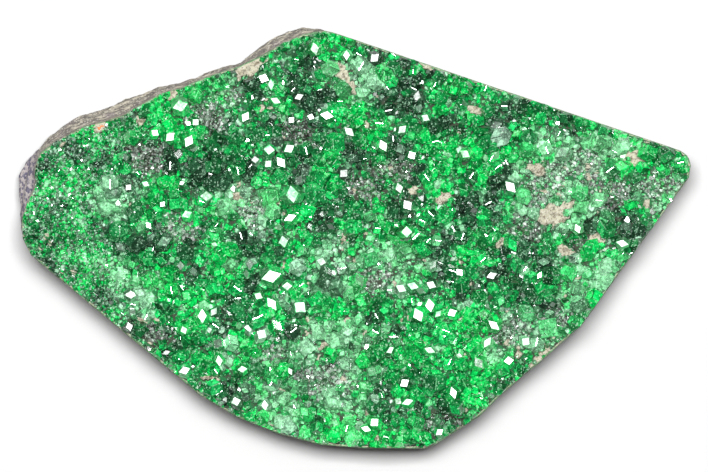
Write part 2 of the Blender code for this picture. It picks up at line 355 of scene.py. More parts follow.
    facing: tuple[tuple[float, float, float], ...] = (
        (-16.3, 12.3, 2.8), (-17.3, 9.4, 1.7), (-15.5, 9.0, 1.7), (-15.7, 2.1, 1.6), (-8.5, 14.9, 1.9),
        (-3.7, 17.7, 1.6), (-0.7, 17.1, 1.6), (1.9, 16.8, 1.6), (-7.4, 12.8, 1.5), (-5.2, 13.2, 1.3),
        (-10.2, 11.3, 1.9), (-2.6, 11.4, 1.9), (-0.5, 9.9, 1.6), (4.5, 10.1, 1.7), (2.7, 8.6, 1.6),
        (6.7, 11.2, 1.6), (5.4, 7.7, 1.5), (-8.1, 6.9, 1.4), (-6.9, 7.0, 1.7), (-5.8, 4.0, 2.2),
        (-1.0, 6.0, 1.7), (4.2, 4.6, 1.5), (5.0, 3.0, 1.8), (4.9, 0.5, 1.8), (10.4, 7.8, 1.7),
        (14.7, 4.7, 1.9), (9.9, -3.3, 1.4), (12.9, -3.6, 1.4), (21.0, 0.8, 1.4), (25.2, -0.6, 1.6),
        (-6.0, 1.8, 1.8), (-3.1, -2.3, 1.4), (-7.8, -3.7, 2.9), (-6.3, -4.6, 1.5), (-9.0, -5.5, 1.5),
        (-7.8, -6.3, 1.9), (-5.1, -6.6, 2.1), (-8.7, -9.1, 1.9), (-21.0, -5.4, 1.8), (-13.2, -7.0, 1.3),
        (-14.3, -7.4, 1.9), (-21.1, -8.4, 1.5), (-16.0, -8.7, 1.3), (-12.7, -11.6, 1.6),
        (-15.9, -12.5, 1.7), (-10.5, -12.4, 1.7), (-11.1, -15.4, 1.6), (-8.4, -15.8, 1.6),
        (5.5, -4.6, 2.0), (4.4, -4.8, 1.5), (7.2, -4.5, 1.4), (7.1, -6.4, 2.1), (6.0, -7.3, 2.2),
        (7.9, -7.2, 1.3), (9.2, -7.1, 1.6), (13.1, -8.3, 1.8), (12.5, -9.9, 1.5), (16.1, -9.8, 1.6),
        (14.5, -11.6, 1.5), (11.7, -11.8, 1.6), (3.3, -10.6, 1.4), (7.1, -10.6, 1.4), (4.7, -13.7, 1.6),
        (5.0, -15.5, 1.6), (4.1, -15.4, 1.3), (9.3, -14.6, 1.5), (8.0, -18.3, 1.2), (1.1, -18.0, 1.3),
        (1.9, -17.4, 1.7), (-5.9, 11.0, 1.3), (-4.1, 11.3, 1.2), (-14.9, 10.8, 1.3), (-18.7, 9.8, 1.4),
        (-21.2, 4.7, 1.2), (-19.6, 5.0, 1.2), (-16.2, 5.1, 1.1), (-18.0, 3.1, 1.0), (-6.1, 8.3, 1.6),
        (-8.0, 8.2, 1.7), (-11.4, 4.6, 1.3),
    )

    def weight(self, zone: Zone, x: np.ndarray, y: np.ndarray) -> np.ndarray:
        """How much of a zone each place has, 0 to 1, with a ragged edge."""
        patches, cell, seed = {
            Zone.DARK: (self.dark, 2.4, 40),
            Zone.VIVID: (self.vivid, 2.4, 45),
            Zone.PALE: (self.pale, 2.2, 50),
            Zone.SUGAR: (self.druse, 1.6, 65),
        }[zone]
        ragged = 0.7 * layered_noise(x, y, cell * MM, 3, seed)
        nearest = np.min([patch.reach(x, y) for patch in patches], axis=0)
        return smooth_step(nearest + ragged, 1.35, 0.5)

    def cream(self, x: np.ndarray, y: np.ndarray) -> np.ndarray:
        """How bare the crust is, 0 to 1: the listed spots, and ragged scraps between the crystals."""
        spots = np.min([patch.reach(x, y) for patch in self.bare], axis=0)
        spots = smooth_step(spots + 0.5 * layered_noise(x, y, 0.8 * MM, 3, 61), 1.15, 0.85)
        scraps = layered_noise(x, y, 1.1 * MM, 4, 63) + 0.2 * self.weight(Zone.PALE, x, y)
        return np.maximum(spots, smooth_step(scraps, 1.08, 1.2))

    def fineness(self, x: np.ndarray, y: np.ndarray) -> np.ndarray:
        """How fine the crystals are, 0 to 1: the left end of the crust is a much finer druse."""
        ragged = 2.2 * layered_noise(x, y, 4.0 * MM, 2, 70)
        return smooth_step(x / MM + ragged, -19.5, -23.5)


@dataclass(frozen=True)
class Ground:
    """The height of the crust under its crystals, in millimetres."""

    rock_top: float = 5.4
    level: float = 7.15
    swell: float = 0.45
    lumps: float = 0.45
    grain: float = 0.12
    bare_rise: float = 0.4

    def height(self, x: np.ndarray, y: np.ndarray) -> np.ndarray:
        """The crust's floor: a slow swell as in the solid, lumps of a few millimetres and a fine grain."""
        u, v = x / MM, y / MM
        wave = np.sin(u / 5.1 + 0.7) * np.cos(v / 4.3 - 0.4)
        slow = 0.6 * wave + 0.4 * np.sin((u + 1.7 * v) / 3.7)
        lumps = layered_noise(x, y, 3.2 * MM, 2, 81)
        grain = layered_noise(x, y, 0.7 * MM, 2, 91)
        bare = self.bare_rise * CRUST.cream(x, y)
        return (self.level + self.swell * slow + self.lumps * lumps + self.grain * grain + bare) * MM


OUTLINE = Outline()
CRUST = CrustMap()
GROUND = Ground()


class Value:
    """A number that varies over a surface: a shader socket with the usual arithmetic."""

    def __init__(self, recipe: "Recipe", socket: bpy.types.NodeSocket) -> None:
        """Wrap a socket of a recipe's node tree."""
        self.recipe = recipe
        self.socket = socket

    def math(self, operation: str, *others: "Value | float", clamp: bool = False) -> "Value":
        """A Math node on this value and others."""
        inputs = {i: value for i, value in enumerate((self, *others))}
        settings = {"operation": operation, "use_clamp": clamp}
        return self.recipe.value("ShaderNodeMath", settings, inputs)

    def __add__(self, other: "Value | float") -> "Value":
        """This plus other."""
        return self.math("ADD", other)

    __radd__ = __add__

    def __mul__(self, other: "Value | float") -> "Value":
        """This times other."""
        return self.math("MULTIPLY", other)

    __rmul__ = __mul__

    def __sub__(self, other: "Value | float") -> "Value":
        """This minus other."""
        return self.math("SUBTRACT", other)

    def __rsub__(self, other: float) -> "Value":
        """Other minus this."""
        return self.math("MULTIPLY", -1.0).math("ADD", other)

    def __pow__(self, other: float) -> "Value":
        """This to the power of other."""
        return self.math("POWER", other)

    def ramp(self, low: float, high: float) -> "Value":
        """0 at low, 1 at high, smooth between and clamped outside."""
        inputs = {"Value": self, "From Min": low, "From Max": high}
        return self.recipe.value("ShaderNodeMapRange", {"interpolation_type": "SMOOTHSTEP"}, inputs)


class Recipe:
    """A material's node tree around one Principled shader."""

    def __init__(self, name: str) -> None:
        """Start an empty tree with an output and a Principled shader."""
        self.material = bpy.data.materials.new(name)
        self.material.use_nodes = True
        self.tree = self.material.node_tree
        self.tree.nodes.clear()
        self.output = self.node("ShaderNodeOutputMaterial")
        self.shader = self.node("ShaderNodeBsdfPrincipled")
        self.tree.links.new(self.shader.outputs[0], self.output.inputs["Surface"])
        self.place = self.node("ShaderNodeTexCoord").outputs["Object"]

    def node(self, kind: str, settings: dict | None = None, inputs: dict | None = None) -> bpy.types.Node:
        """Add a node.

        Args:
            kind: the node's type name.
            settings: its own properties, set first; "stops" fills a colour ramp with (place, colour).
            inputs: socket name or number to a plain value, a Value or another node's socket.

        Returns:
            The node.
        """
        node = self.tree.nodes.new(kind)
        for name, value in (settings or {}).items():
            if name == "stops":
                ramp = node.color_ramp
                while len(ramp.elements) < len(value):
                    ramp.elements.new(0.5)
                for element, (place, colour) in zip(ramp.elements, value):
                    element.position = place
                    element.color = (*colour, 1.0)
            else:
                setattr(node, name, value)
        for name, value in (inputs or {}).items():
            socket = node.inputs[name]
            if isinstance(value, Value):
                self.tree.links.new(value.socket, socket)
            elif isinstance(value, bpy.types.NodeSocket):
                self.tree.links.new(value, socket)
            else:
                socket.default_value = value
        return node

    def value(self, kind: str, settings: dict | None = None, inputs: dict | None = None, output: int = 0) -> Value:
        """Add a node and wrap one of its outputs."""
        return Value(self, self.node(kind, settings, inputs).outputs[output])

    def noise(self, cell: float, detail: float = 3.0, stretch: tuple[float, float, float] = (1, 1, 1)) -> Value:
        """Fractal noise between 0 and 1 whose features are about one cell wide, in metres."""
        scaled = self.node("ShaderNodeMapping", {}, {"Vector": self.place, "Scale": stretch}).outputs[0]
        inputs = {"Vector": scaled, "Scale": 1.0 / cell, "Detail": detail}
        return self.value("ShaderNodeTexNoise", {}, inputs)

    def cells(self, cell: float, feature: str = "F1") -> Value:
        """Distance to the nearest of scattered points about a cell apart, in cells."""
        inputs = {"Vector": self.place, "Scale": 1.0 / cell}
        return self.value("ShaderNodeTexVoronoi", {"feature": feature}, inputs)

    def cell_value(self, cell: float) -> Value:
        """A random number, 0 to 1, for each cell around scattered points about a cell apart."""
        inputs = {"Vector": self.place, "Scale": 1.0 / cell}
        return self.value("ShaderNodeTexVoronoi", {"feature": "F1"}, inputs, output=1)

    def along(self) -> Value:
        """The place's distance along +X from the origin, in metres."""
        return self.value("ShaderNodeSeparateXYZ", {}, {0: self.place}, output=0)

    def height(self) -> Value:
        """The place's height above the underside, in metres."""
        return self.value("ShaderNodeSeparateXYZ", {}, {0: self.place}, output=2)

    def mix(self, share: Value | float, a: object, b: object, blend: str = "MIX") -> bpy.types.NodeSocket:
        """Mix two colours by a share."""
        settings = {"data_type": "RGBA", "blend_type": blend}
        node = self.node("ShaderNodeMix", settings, {0: share})
        for socket, colour in ((node.inputs[6], a), (node.inputs[7], b)):
            if isinstance(colour, bpy.types.NodeSocket):
                self.tree.links.new(colour, socket)
            else:
                socket.default_value = (*colour, 1.0)
        return node.outputs[2]

    def bump(self, height: Value, depth: float, strength: float = 1.0) -> bpy.types.NodeSocket:
        """A bump of the given depth in metres for a height between 0 and 1."""
        inputs = {"Height": height, "Distance": depth, "Strength": strength}
        return self.node("ShaderNodeBump", {}, inputs).outputs[0]

    def dress(self, **sockets: object) -> bpy.types.Material:
        """Fill the shader's sockets, whose names are given with underscores for spaces."""
        for name, value in sockets.items():
            socket = self.shader.inputs[name.replace("_", " ")]
            if isinstance(value, Value):
                self.tree.links.new(value.socket, socket)
            elif isinstance(value, bpy.types.NodeSocket):
                self.tree.links.new(value, socket)
            elif isinstance(value, tuple):
                socket.default_value = (*value, 1.0)
            else:
                socket.default_value = value
        return self.material


@dataclass(frozen=True)
class GarnetFinish:
    """Glassy green garnet: each crystal's own colour, with painted internal reflections and highlights laid over
    it.
    """

    name: str
    transmission: float = 0.45
    ior: float = 1.86
    roughness: float = 0.035
    matt: float = 0.22
    painted_reflection: float = 0.30
    reflection_fleck: float = 0.13
    reflection_fleck_share: float = 0.20

    def make(self) -> bpy.types.Material:
        """The crystal's tint, broken up by painted light: light coming back from the flaws and faces inside.

        Two sizes of random cells lighten or darken the tint as painted internal reflections. Some of the
        smaller ones are pale flecks of painted reflection, and the brightest places pale a little too, as
        painted highlights.
        """
        recipe = Recipe(self.name)
        tint = recipe.node("ShaderNodeAttribute", {"attribute_name": "tint"}).outputs["Color"]
        painted_reflection = recipe.cell_value(self.painted_reflection * MM)
        reflection_fleck = recipe.cell_value(self.reflection_fleck * MM)
        depth = recipe.noise(0.12 * MM, 2.0)
        # Painted internal reflections: random cells brighten or darken the crystal's colour.
        strength = 0.30 + 1.0 * painted_reflection * painted_reflection + 1.25 * reflection_fleck * depth.ramp(0.3, 0.7)
        grey = recipe.node("ShaderNodeCombineColor", {}, {0: strength, 1: strength, 2: strength}).outputs[0]
        colour = recipe.mix(1.0, tint, grey, "MULTIPLY")
        # Painted highlights: the pale flecks and the brightest places turn a light mint.
        pale = recipe.mix(0.3, (0.60, 0.95, 0.68), tint)
        edge = 1.0 - self.reflection_fleck_share
        reflection_paling = (reflection_fleck.ramp(edge, edge + 0.02) * 0.72).math("MAXIMUM", strength.ramp(1.1, 2.0) * 0.45)
        colour = recipe.mix(reflection_paling, colour, pale)
        dull = recipe.cell_value(0.8 * MM)
        frost = recipe.value("ShaderNodeAttribute", {"attribute_name": "frost"}, output=2)
        etched = frost * (0.2 + 0.52 * recipe.noise(0.3 * MM, 3.0))
        return recipe.dress(
            Base_Color=colour,
            Roughness=self.roughness + self.matt * dull**4 + etched,
            IOR=self.ior,
            Transmission_Weight=self.transmission,
        )


@dataclass(frozen=True)
class RockFinish:
    """Chromite rock: dark grey with tan and purple-grey streaks that follow its layers."""

    name: str = "chromite_rock"
    rim_low: float = 4.9
    rim_high: float = 5.3
    violet_from: float = -29.2
    violet_to: float = -30.6

    def make(self) -> bpy.types.Material:
        """Streaks along the layers, dark grains, pale specks, and a tan skin right under the crust, dark brown
        along the sawn edges as painted shade.

        The left end is speckled violet grey.
        """
        recipe = Recipe(self.name)
        streak = recipe.noise(0.26 * MM, 6.0, (0.3, 0.3, 1.6))
        patch = recipe.noise(2.2 * MM, 3.0)
        colour = recipe.mix(streak.ramp(0.42, 0.58), (0.10, 0.09, 0.078), (0.30, 0.275, 0.22))
        colour = recipe.mix(patch.ramp(0.54, 0.66) * 0.6, colour, (0.15, 0.125, 0.13))
        grain = recipe.cell_value(0.12 * MM)
        colour = recipe.mix(grain.ramp(0.72, 0.8) * 0.6, colour, (0.06, 0.053, 0.048))
        colour = recipe.mix(grain.ramp(0.28, 0.2) * 0.5, colour, (0.44, 0.42, 0.37))
        left = recipe.along().ramp(self.violet_from * MM, self.violet_to * MM)
        speckle = recipe.cell_value(0.22 * MM)
        violet = recipe.mix(speckle.ramp(0.35, 0.6), (0.075, 0.068, 0.115), (0.30, 0.27, 0.27))
        colour = recipe.mix(left * 0.85, colour, violet)
        skin = recipe.height().ramp(self.rim_low * MM, self.rim_high * MM) * (0.35 + 1.0 * patch)
        broken = recipe.value("ShaderNodeAttribute", {"attribute_name": "broken"}, output=2)
        # Painted shade: along the sawn edges the rim is dark brown, standing for their shaded side; along the
        # broken edges it is a lighter tan.
        rim = recipe.mix(broken, (0.13, 0.105, 0.07), (0.21, 0.195, 0.14))
        colour = recipe.mix(skin, colour, rim)
        rough = recipe.noise(0.3 * MM, 5.0)
        return recipe.dress(Base_Color=colour, Roughness=0.8, Normal=recipe.bump(rough, 0.15 * MM))


def tan_rock(recipe: Recipe) -> bpy.types.NodeSocket:
    """The colour of fine-grained tan rock: brown patches, dark grains and pale grains."""
    patch = recipe.noise(0.45 * MM, 4.0)
    colour = recipe.mix(patch.ramp(0.34, 0.56), (0.15, 0.13, 0.09), (0.34, 0.325, 0.245))
    grain = recipe.cell_value(0.11 * MM)
    colour = recipe.mix(grain.ramp(0.75, 0.8) * 0.6, colour, (0.05, 0.045, 0.03))
    return recipe.mix(grain.ramp(0.3, 0.25) * 0.6, colour, (0.40, 0.39, 0.33))


@dataclass(frozen=True)
class BareFinish:
    """Fine-grained tan rock that shows where crystals are missing."""

    name: str = "bare_tan_rock"

    def make(self) -> bpy.types.Material:
        """Tan, brown and grey grains, and rust where the attribute "rust" says so."""
        recipe = Recipe(self.name)
        rough = recipe.noise(0.14 * MM, 4.0)
        rust = recipe.value("ShaderNodeAttribute", {"attribute_name": "rust"}, output=2)
        stain = recipe.noise(0.15 * MM, 2.0)
        colour = recipe.mix(rust * stain.ramp(0.3, 0.5), tan_rock(recipe), (0.72, 0.20, 0.06))
        return recipe.dress(Base_Color=colour, Roughness=0.9, Normal=recipe.bump(rough, 0.12 * MM))


@dataclass(frozen=True)
class BedFinish:
    """The fine-grained floor between the crystals, and the cut side of the crust below them."""

    name: str = "crust_floor"

    def make(self) -> bpy.types.Material:
        """Blackish green with green grains, and tan rock where the crust is bare and along the cut."""
        recipe = Recipe(self.name)
        patch = recipe.noise(0.6 * MM, 4.0)
        grain = recipe.cell_value(0.14 * MM)
        green = recipe.mix(patch.ramp(0.4, 0.6), (0.008, 0.10, 0.03), (0.028, 0.034, 0.022))
        green = recipe.mix(grain.ramp(0.78, 0.84), green, (0.08, 0.42, 0.16))
        bare = recipe.value("ShaderNodeAttribute", {"attribute_name": "bare"}, output=2)
        share = (bare + (grain - 0.5) * 0.5).ramp(0.35, 0.65)
        sawn = recipe.mix(patch.ramp(0.44, 0.62) * 0.8, (0.07, 0.20, 0.08), (0.28, 0.275, 0.20))
        sawn = recipe.mix(grain.ramp(0.62, 0.70) * 0.8, sawn, (0.03, 0.11, 0.04))
        sawn = recipe.mix(grain.ramp(0.30, 0.22) * 0.7, sawn, (0.20, 0.42, 0.23))
        lip = recipe.mix((bare - 1.0).ramp(0.2, 0.8) * 0.85, tan_rock(recipe), sawn)
        colour = recipe.mix(share, green, lip)
        rough = recipe.noise(0.2 * MM, 3.0)
        normal = recipe.bump(rough, 0.1 * MM)
        return recipe.dress(Base_Color=colour, Roughness=0.8, Specular_IOR_Level=0.2, Normal=normal)


def finish_piece(piece: bpy.types.Object, material: bpy.types.Material, node: str) -> None:
    """Give a piece its material and slot, ride it on the body, hide the solid of the node it stands in for, and
    log its faces.
    """
    piece.data.materials.append(material)
    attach(piece, "root")
    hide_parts(node)
    LOG.info("%s: %d faces", piece.name, len(piece.data.polygons))


@dataclass
class RockPlate:
    """The chromite plate: flat under and over, sawn on its long sides, broken at the upper left."""

    thickness: float = 5.4
    draft: float = 0.25
    levels: int = 44
    foot: float = 1.0
    heights: tuple[float, ...] = (0.0, 0.16, 0.3, 0.36, 0.56, 0.63, 0.79, 0.86, 1.0)
    foot_inset: tuple[float, ...] = (0.9, 0.4, 0.3, 0.0, 0.0, 0.0, 0.0, 0.0, 0.0)
    rim_used: tuple[float, ...] = (0.0, 0.0, 0.0, 0.0, 0.0, 0.32, 0.42, 0.78, 1.0)
    roughness: float = 0.16

    def build(self) -> bpy.types.Object:
        """The plate's skin.

        A ring at height share h is the outline moved in: by the draft where the edge is sawn, and by
        the ledged profile plus layered noise where it is broken.
        """
        points, rim, broken = OUTLINE.trace()
        outward = OUTLINE.outward(points)
        along = np.concatenate([[0.0], np.cumsum(np.linalg.norm(np.diff(points, axis=0), axis=1))])
        share = np.linspace(0.0, 1.0, self.levels)[:, None]
        foot = np.interp(share, self.heights, self.foot_inset) * self.foot * MM
        used = np.interp(share, self.heights, self.rim_used)
        rough = layered_noise(along[None, :], share * self.thickness * MM * 2.5, 1.6 * MM, 4, 101)
        fade = np.sin(np.clip(share, 0.0, 0.97) / 0.97 * math.pi) ** 0.4
        worn = foot + used * rim + (0.3 + rough) * self.roughness * MM * fade
        cut = self.draft * MM * (1 - share) + 0.012 * MM * np.sin(share * 90.0) * fade
        inset = broken * worn + (1 - broken) * cut
        flat = points[None] - outward[None] * inset[..., None]
        height = np.broadcast_to(share * self.thickness * MM, flat.shape[:2])
        rings = np.concatenate([flat, height[..., None]], -1)
        corners, faces = stack_rings(rings)
        piece = put_mesh("chromite_plate", corners, faces, Shape.SMOOTH)
        layer = piece.data.attributes.new("broken", "FLOAT", "POINT")
        levels = np.concatenate([np.tile(broken, self.levels), [0.0, 0.0]])
        layer.data.foreach_set("value", levels.astype(np.float32))
        piece.data.set_sharp_from_angle(angle=math.radians(35.0))
        finish_piece(piece, RockFinish().make(), ROCK_NODE)
        return piece


@dataclass
class CrustBed:
    """The floor of the crust, from the rock's top to the crystals' roots."""

    rings: int = 170
    foot_gap: float = 0.02
    edge_drop: float = 0.25

    def build(self) -> bpy.types.Object:
        """Rings from the crust line in to the middle, raised to the ground's height.

        The outermost ring is a little lower, because the saw rounded the lip. The attribute "bare"
        says how much of the tan rock shows: all of it where it is 1, and 2 on the lip and the cut side,
        where it is lighter.
        """
        line = OUTLINE.crust_line()[::2]
        lip = OUTLINE.crystal_line()[::2]
        share = np.linspace(1.0, 0.004, self.rings)[:, None, None]
        flat = np.concatenate([line[None], lip[None] * share])
        height = GROUND.height(flat[..., 0], flat[..., 1])
        height[0] -= self.edge_drop * MM
        top = np.concatenate([flat, height[..., None]], -1)
        low = np.full((1, len(line), 1), (GROUND.rock_top + self.foot_gap) * MM)
        foot = np.concatenate([line[None], low], -1)
        middle = np.concatenate([line[None] * 0.5, low], -1)
        corners, faces = stack_rings(np.concatenate([middle, foot, top]))
        piece = put_mesh("crust_floor", corners, faces, Shape.SMOOTH)
        bare = CRUST.cream(corners[:, 0], corners[:, 1])
        bare[: 2 * len(line)] = 2.0
        bare[2 * len(line) : 4 * len(line)] = 2.0
        layer = piece.data.attributes.new("bare", "FLOAT", "POINT")
        layer.data.foreach_set("value", bare.astype(np.float32))
        finish_piece(piece, BedFinish().make(), CRUST_NODE)
        return piece


@dataclass
class BareSpots:
    """Low lumps of tan rock where the crust is missing."""

    spokes: int = 96
    rings: int = 30
    reach: float = 1.35
    rise: float = 0.35
    sink: float = 0.5
    rough: float = 0.28

    def build(self) -> bpy.types.Object:
        """One lump per bare patch.

        At share r of its radius a lump's top stands rise (1 - r^2) - sink r^2 above the ground, plus
        layered noise, so that it dives under the crystals along a ragged line.
        """
        angle = np.linspace(0.0, 2 * math.pi, self.spokes, endpoint=False)[None, :]
        share = np.linspace(self.reach, 0.02, self.rings)[:, None]
        line = OUTLINE.crystal_line()
        corners, faces, count = [], [], 0
        for patch in CRUST.bare:
            turn = math.radians(patch.turn)
            along = patch.half_length * share * np.cos(angle)
            across = patch.half_width * share * np.sin(angle)
            x = (patch.x + along * math.cos(turn) - across * math.sin(turn)) * MM
            y = (patch.y + along * math.sin(turn) + across * math.cos(turn)) * MM
            dome = (self.rise * (1 - share**2) - self.sink * share**2) * MM
            rough = layered_noise(x, y, 0.6 * MM, 4, 121) * self.rough * MM
            ground = GROUND.height(x, y) - GROUND.bare_rise * MM * CRUST.cream(x, y)
            top = np.stack([x, y, ground + dome + rough], -1)
            foot = top[:1].copy()
            foot[..., 2] = (GROUND.rock_top + 0.05) * MM
            skin, joins = stack_rings(np.concatenate([foot, top]))
            corners.append(saw_off(skin, line))
            faces.append(joins + count)
            count += len(skin)
        skins = np.concatenate(corners)
        piece = put_mesh("bare_rock_spots", skins, np.concatenate(faces), Shape.SMOOTH)
        rust = smooth_step(CRUST.rust.reach(skins[:, 0], skins[:, 1]), 1.3, 0.7)
        layer = piece.data.attributes.new("rust", "FLOAT", "POINT")
        layer.data.foreach_set("value", rust.astype(np.float32))
        finish_piece(piece, BareFinish().make(), CRUST_NODE)
        return piece


def saw_off(skin: np.ndarray, line: np.ndarray) -> np.ndarray:
    """Bring corners outside a line back to its nearest point, as the saw cut them off."""
    outside = np.flatnonzero(~holds(line, skin[:, :2]))
    for part in np.array_split(outside, max(1, len(outside) // 2000)):
        gaps = np.linalg.norm(skin[part, None, :2] - line[None], axis=2)
        skin[part, :2] = line[gaps.argmin(1)]
    return skin


@dataclass(frozen=True)
class Habit:
    """A crystal's form at half cube 1: corners, triangles, and which face each triangle belongs to."""

    corners: np.ndarray
    triangles: np.ndarray
    face: np.ndarray


def rhombic_faces() -> tuple[np.ndarray, list[list[int]]]:
    """The rhombic dodecahedron, garnet's own habit.

    Its corners are the eight of a cube with half side 1 and six tips at distance 2 on the axes. Each
    face is a rhombus between two tips and the two cube corners that both have beside them.

    Returns:
        The 14 corners and the 12 faces, counterclockwise from outside.
    """
    cube = np.array(list(product((-1.0, 1.0), repeat=3)))
    tips = np.concatenate([np.eye(3), -np.eye(3)]) * 2.0
    corners = np.concatenate([cube, tips])
    faces = []
    for i, j in ((0, 1), (1, 2), (2, 0)):
        for a, b in product((-1.0, 1.0), repeat=2):
            ends = [8 + axis + (0 if sign > 0 else 3) for axis, sign in ((i, a), (j, b))]
            beside = [n for n in range(8) if cube[n, i] == a and cube[n, j] == b]
            faces.append(outward_order(corners, [ends[0], beside[0], ends[1], beside[1]]))
    return corners, faces


def outward_order(corners: np.ndarray, face: list[int]) -> list[int]:
    """The face's corners turned counterclockwise from outside, for a form around the origin."""
    normal = np.cross(corners[face[1]] - corners[face[0]], corners[face[2]] - corners[face[0]])
    return face if np.dot(normal, corners[face].mean(0)) > 0 else face[::-1]


def fan(faces: list[list[int]]) -> tuple[np.ndarray, np.ndarray]:
    """Cut faces into triangles from their first corner; also says which face each is part of."""
    parts = [(face[0], face[k], face[k + 1], n) for n, face in enumerate(faces) for k in range(1, len(face) - 1)]
    rows = np.array(parts)
    return rows[:, :3], rows[:, 3]


def plain_habit() -> Habit:
    """The plain dodecahedron."""
    corners, faces = rhombic_faces()
    return Habit(corners, *fan(faces))


def bevelled_habit(shrink: float) -> Habit:
    """The dodecahedron with narrow faces along its edges, as garnets often have.

    Every rhombus is shrunk towards its middle in its own plane. The gaps are closed by a strip along
    each edge, and by a small face over each corner.

    Args:
        shrink: the share of each rhombus that is taken off.
    """
    corners, faces = rhombic_faces()
    points = np.concatenate([corners[f] * (1 - shrink) + corners[f].mean(0) * shrink for f in faces])
    slot = {(n, c): 4 * n + k for n, face in enumerate(faces) for k, c in enumerate(face)}
    made = [[slot[n, c] for c in face] for n, face in enumerate(faces)]
    edges = {}
    for n, face in enumerate(faces):
        for k, c in enumerate(face):
            edges.setdefault(frozenset((c, face[(k + 1) % 4])), []).append(n)
    for edge, (f, g) in edges.items():
        a, b = sorted(edge)
        made.append(outward_order(points, [slot[f, a], slot[f, b], slot[g, b], slot[g, a]]))
    for c in range(len(corners)):
        around = [slot[n, c] for n, face in enumerate(faces) if c in face]
        out = corners[c] / np.linalg.norm(corners[c])
        side = np.cross(out, [0.31, 0.52, 0.79])
        angle = [math.atan2(points[p] @ np.cross(out, side), points[p] @ side) for p in around]
        made.append(outward_order(points, [p for _, p in sorted(zip(angle, around))]))
    return Habit(points, *fan(made))


def random_turns(rng: np.random.Generator, count: int) -> np.ndarray:
    """Evenly spread rotation matrices, from random unit quaternions."""
    q = rng.normal(size=(count, 4))
    w, x, y, z = (q / np.linalg.norm(q, axis=1, keepdims=True)).T
    rows = [
        [1 - 2 * (y * y + z * z), 2 * (x * y - z * w), 2 * (x * z + y * w)],
        [2 * (x * y + z * w), 1 - 2 * (x * x + z * z), 2 * (y * z - x * w)],
        [2 * (x * z - y * w), 2 * (y * z + x * w), 1 - 2 * (x * x + y * y)],
    ]
    return np.moveaxis(np.array(rows), 2, 0)


class Site(Enum):
    """Where a generation of crystals grows."""

    COARSE = "coarse"
    FINE = "fine"
    SUGAR = "sugar"
    FACING = "facing"


def level_turns(rng: np.random.Generator, places: np.ndarray, normal: tuple[float, float, float]) -> np.ndarray:
    """Rotation matrices that turn one face up to the light, a few degrees off, spun at random.

    The rows are the new axes: the first two span the face's plane, the third is its normal. A random
    spin and then a small tilt are laid over them, and the farther out a crystal stands, the more its
    face leans back to the middle, where the light and the camera are.
    """
    count = len(places)
    spin = rng.uniform(0.0, 2 * math.pi, count)
    lean_x = np.radians(rng.normal(0.0, LEVEL_SPREAD, count)) - LEAN_BACK * places[:, 0]
    lean_y = np.radians(LIGHT_LEAN + rng.normal(0.0, LEVEL_SPREAD, count)) - LEAN_BACK * places[:, 1]
    up = np.array(normal) / np.linalg.norm(normal)
    side = np.cross(up, [0.0, 0.0, 1.0])
    side /= np.linalg.norm(side)
    face = np.array([side, np.cross(up, side), up])
    zero, one = np.zeros(count), np.ones(count)
    turn = [[np.cos(spin), -np.sin(spin), zero], [np.sin(spin), np.cos(spin), zero], [zero, zero, one]]
    tip = [[one, zero, lean_x], [zero, one, lean_y], [-lean_x, -lean_y, one]]
    return np.moveaxis(np.array(tip), 2, 0) @ np.moveaxis(np.array(turn), 2, 0) @ face


LIGHT_LEAN = 3.6
LEVEL_SPREAD = 1.5
LEAN_BACK = 1.742
GLINT_REACH = 7.0
FACE = (1.0, 1.0, 0.0)
EDGE = (2.0, 1.0, 1.0)


def glints(turns: np.ndarray) -> np.ndarray:
    """Whether each turned crystal has a rhombus that mirrors the key light to the camera."""
    corners, faces = rhombic_faces()
    normals = np.array([corners[face].mean(0) for face in faces])
    normals /= np.linalg.norm(normals, axis=1, keepdims=True)
    lean = math.radians(LIGHT_LEAN)
    light = np.array([0.0, math.sin(lean), math.cos(lean)])
    return (np.einsum("nij,kj->nki", turns, normals) @ light).max(1) > math.cos(math.radians(GLINT_REACH))


@dataclass(frozen=True)
class Generation:
    """One generation of crystals of about one size, in millimetres."""

    spacing: float
    width: float
    spread: float
    rise: float
    share: float
    habit: Habit
    site: Site = Site.COARSE
    on_bare: float = 0.0
    level_share: float = 0.0
    edge_share: float = 0.0
    dull_share: float = 0.6
    mixed: float = 1.0


TONES = (
    (0.00, (0.014, 0.066, 0.028)),
    (0.30, (0.006, 0.245, 0.055)),
    (0.60, (0.003, 0.415, 0.078)),
    (1.00, (0.001, 0.560, 0.090)),
)
CLOUDED = (0.31, 0.50, 0.37)
MINT = (0.34, 0.74, 0.43)
GREYS = ((0.045, 0.040, 0.033), (0.66, 0.69, 0.66))


def blend(colour: np.ndarray, other: tuple[float, float, float], share: np.ndarray) -> np.ndarray:
    """Mix each crystal's colour with another one."""
    part = np.clip(share, 0.0, 1.0)[:, None]
    return colour * (1 - part) + np.array(other) * part


